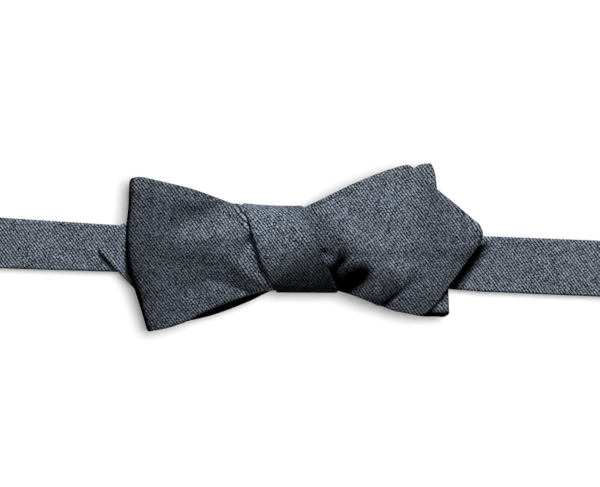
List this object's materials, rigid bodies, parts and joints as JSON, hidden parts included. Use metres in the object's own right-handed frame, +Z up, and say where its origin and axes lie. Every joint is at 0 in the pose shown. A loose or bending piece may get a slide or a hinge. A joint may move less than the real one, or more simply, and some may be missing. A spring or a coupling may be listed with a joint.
{
  "type": "bow tie",
  "caption": "Self-tied bow tie with diamond points in blue-grey twill, laid flat face up, its neckband folded back behind the bow, with a hook, an eye and a slider to set the neck size.",
  "frame": {"origin": "on the surface that the tie lies on, under the middle of the knot, on the centre line of the neckband", "axes": "+X along the neckband, towards the half with the size strap; +Y across the neckband, towards the top of the bow; +Z up out of the face of the bow"},
  "size_m": [0.21, 0.0586, 0.0142],
  "materials": {
    "twill": "slate blue-grey twill, matt",
    "interlining": "undyed woven interlining, matt",
    "strap": "dark navy grosgrain ribbon",
    "thread": "dark sewing thread",
    "label": "blank woven label, satin",
    "hardware": "nickel plated, satin"
  },
  "bodies": {
    "bow_and_band": {"front_bow_face_panel": "twill", "front_bow_back_panel": "twill", "front_bow_interlining": "interlining", "back_bow_face_panel": "twill", "back_bow_back_panel": "twill", "back_bow_interlining": "interlining", "knot_wrap_face_panel": "twill", "knot_wrap_back_panel": "twill", "knot_wrap_interlining": "interlining", "throat_turn_face_panel": "twill", "throat_turn_back_panel": "twill", "throat_turn_interlining": "interlining", "left_band_face_panel": "twill", "left_band_back_panel": "twill", "left_band_interlining": "interlining", "right_band_face_panel": "twill", "right_band_back_panel": "twill", "right_band_interlining": "interlining", "size_strap_main": "strap", "size_strap_stitch": "thread", "eye_tab": "strap", "eye_tab_stitch": "thread", "neck_label": "label", "neck_label_stitches": "thread"},
    "strap_loop": {"size_strap_loop": "strap"},
    "slider": {"slider": "hardware", "slider_bar_stitch": "thread", "size_strap_return": "strap"},
    "hook": {"hook": "hardware"},
    "eye": {"eye": "hardware"}
  },
  "joints": [
    {"name": "neck_size", "type": "slide", "parent": "bow_and_band", "child": "strap_loop", "axis": [1, 0, 0], "range_m": [0, 0.02], "deforming": ["size_strap_main"]},
    {"name": "slider_slide", "type": "slide", "parent": "strap_loop", "child": "slider", "axis": [1, 0, 0], "range_m": [0, 0.02], "deforming": ["size_strap_return"]},
    {"name": "hook_turn", "type": "hinge", "parent": "strap_loop", "child": "hook", "pos_m": [0.026, 0, 0.00105], "axis": [0, -1, 0], "range_deg": [0, 90]},
    {"name": "eye_turn", "type": "hinge", "parent": "bow_and_band", "child": "eye", "pos_m": [-0.028, 0, 0.00105], "axis": [0, 1, 0], "range_deg": [0, 90]}
  ],
  "couplings": [
    {"joint": "slider_slide", "follows": "neck_size", "ratio": 1}
  ]
}
